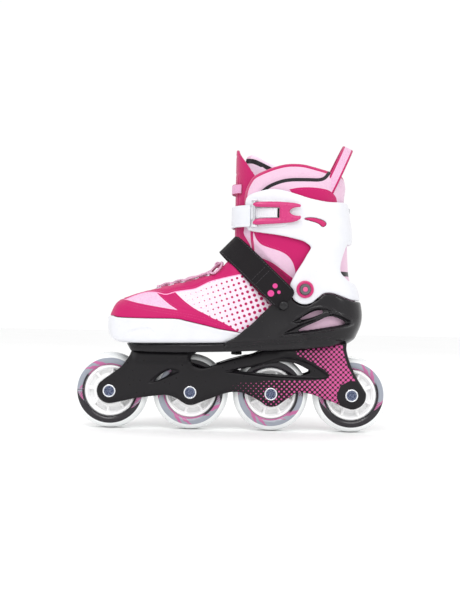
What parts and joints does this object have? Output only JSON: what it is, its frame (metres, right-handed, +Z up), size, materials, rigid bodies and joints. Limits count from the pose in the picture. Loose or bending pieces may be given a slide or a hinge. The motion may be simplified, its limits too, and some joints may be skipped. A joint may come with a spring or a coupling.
{
  "type": "inline skate",
  "caption": "Child's size-adjustable inline skate, left foot: soft boot with hinged cuff, buckle and instep strap on a shell and frame with wheels in line.",
  "frame": {"origin": "on the ground under the middle of the wheelbase, in the skate's middle plane", "axes": "+Z up, toe towards -X, heel towards +X, outer side with the buckle towards -Y"},
  "size_m": [0.3, 0.0918, 0.2727],
  "materials": {
    "frame_plastic": "black glass-filled nylon, satin, with a pink dot print at the rear",
    "shell_plastic": "black moulded polypropylene, satin",
    "white_plastic": "white moulded polyurethane, soft gloss",
    "pink_plastic": "crimson pink moulded nylon, soft gloss",
    "grey_plastic": "pale grey flexible strap",
    "upper_fabric": "crimson synthetic leather and mesh panels, stitched",
    "liner_fabric": "pale lilac padded mesh",
    "loop_webbing": "lilac webbing with crimson edges",
    "lace_cord": "flat woven lace",
    "strap_webbing": "black hook-and-loop webbing",
    "urethane": "clear cast polyurethane over a printed core ring",
    "hub_plastic": "white nylon",
    "bearing_steel": "ground ring with pressed shields",
    "axle_steel": "zinc-plated steel",
    "rivet_steel": "dark plated steel",
    "dark_steel": "glossy black enamelled rivet"
  },
  "bodies": {
    "chassis": {"frame": "frame_plastic", "shell": "shell_plastic", "boot_lower": "liner_fabric", "insole": "liner_fabric", "instep_strap": "strap_webbing", "strap_keeper": "shell_plastic", "strap_rivet_outer": "dark_steel", "strap_rivet_inner": "dark_steel", "ankle_rivet_outer": "rivet_steel", "ankle_rivet_inner": "rivet_steel", "ankle_cap_outer": "pink_plastic", "ankle_cap_inner": "pink_plastic", "frame_bolt_front": "rivet_steel", "frame_bolt_rear": "rivet_steel", "axle_bolt_1": "axle_steel", "axle_screw_1": "axle_steel", "axle_spacer_1": "axle_steel", "axle_bolt_2": "axle_steel", "axle_screw_2": "axle_steel", "axle_spacer_2": "axle_steel", "axle_bolt_3": "axle_steel", "axle_screw_3": "axle_steel", "axle_spacer_3": "axle_steel", "axle_bolt_4": "axle_steel", "axle_screw_4": "axle_steel", "axle_spacer_4": "axle_steel"},
    "toe_box": {"toe_cap": "white_plastic", "vamp": "upper_fabric", "laces": "lace_cord"},
    "ankle_cuff": {"cuff": "white_plastic", "ankle_collar": "liner_fabric", "tongue": "upper_fabric", "tongue_loop": "loop_webbing", "pull_loop": "loop_webbing", "cuff_strap": "grey_plastic", "ladder_strap": "white_plastic", "cuff_strap_screw": "rivet_steel", "buckle_base": "white_plastic", "buckle_pin": "rivet_steel", "cuff_rear_rivet": "rivet_steel"},
    "lever": {"buckle_lever": "pink_plastic"},
    "knob": {"size_knob": "shell_plastic"},
    "wheel_1": {"tyre_1": "urethane", "wheel_hub_1": "hub_plastic", "bearing_outer_1": "bearing_steel", "bearing_inner_1": "bearing_steel"},
    "wheel_2": {"tyre_2": "urethane", "wheel_hub_2": "hub_plastic", "bearing_outer_2": "bearing_steel", "bearing_inner_2": "bearing_steel"},
    "wheel_3": {"tyre_3": "urethane", "wheel_hub_3": "hub_plastic", "bearing_outer_3": "bearing_steel", "bearing_inner_3": "bearing_steel"},
    "wheel_4": {"tyre_4": "urethane", "wheel_hub_4": "hub_plastic", "bearing_outer_4": "bearing_steel", "bearing_inner_4": "bearing_steel"}
  },
  "joints": [
    {"name": "toe_extend", "type": "slide", "parent": "chassis", "child": "toe_box", "axis": [-1, 0, 0], "range_m": [0, 0.02]},
    {"name": "cuff_flex", "type": "hinge", "parent": "chassis", "child": "ankle_cuff", "pos_m": [0.0666, 0, 0.1345], "axis": [0, -1, 0], "range_deg": [0, 8]},
    {"name": "buckle_open", "type": "hinge", "parent": "ankle_cuff", "child": "lever", "pos_m": [0.0185, -0.0404, 0.2036], "axis": [0, 0, -1], "range_deg": [0, 110]},
    {"name": "size_lock", "type": "hinge", "parent": "chassis", "child": "knob", "pos_m": [0.005, 0, 0.073], "axis": [0, 0, 1], "range_deg": [0, 90]},
    {"name": "wheel_1_spin", "type": "hinge", "parent": "chassis", "child": "wheel_1", "pos_m": [-0.114, 0, 0.036], "axis": [0, -1, 0], "continuous": true},
    {"name": "wheel_2_spin", "type": "hinge", "parent": "chassis", "child": "wheel_2", "pos_m": [-0.038, 0, 0.036], "axis": [0, -1, 0], "continuous": true},
    {"name": "wheel_3_spin", "type": "hinge", "parent": "chassis", "child": "wheel_3", "pos_m": [0.038, 0, 0.036], "axis": [0, -1, 0], "continuous": true},
    {"name": "wheel_4_spin", "type": "hinge", "parent": "chassis", "child": "wheel_4", "pos_m": [0.114, 0, 0.036], "axis": [0, -1, 0], "continuous": true}
  ]
}
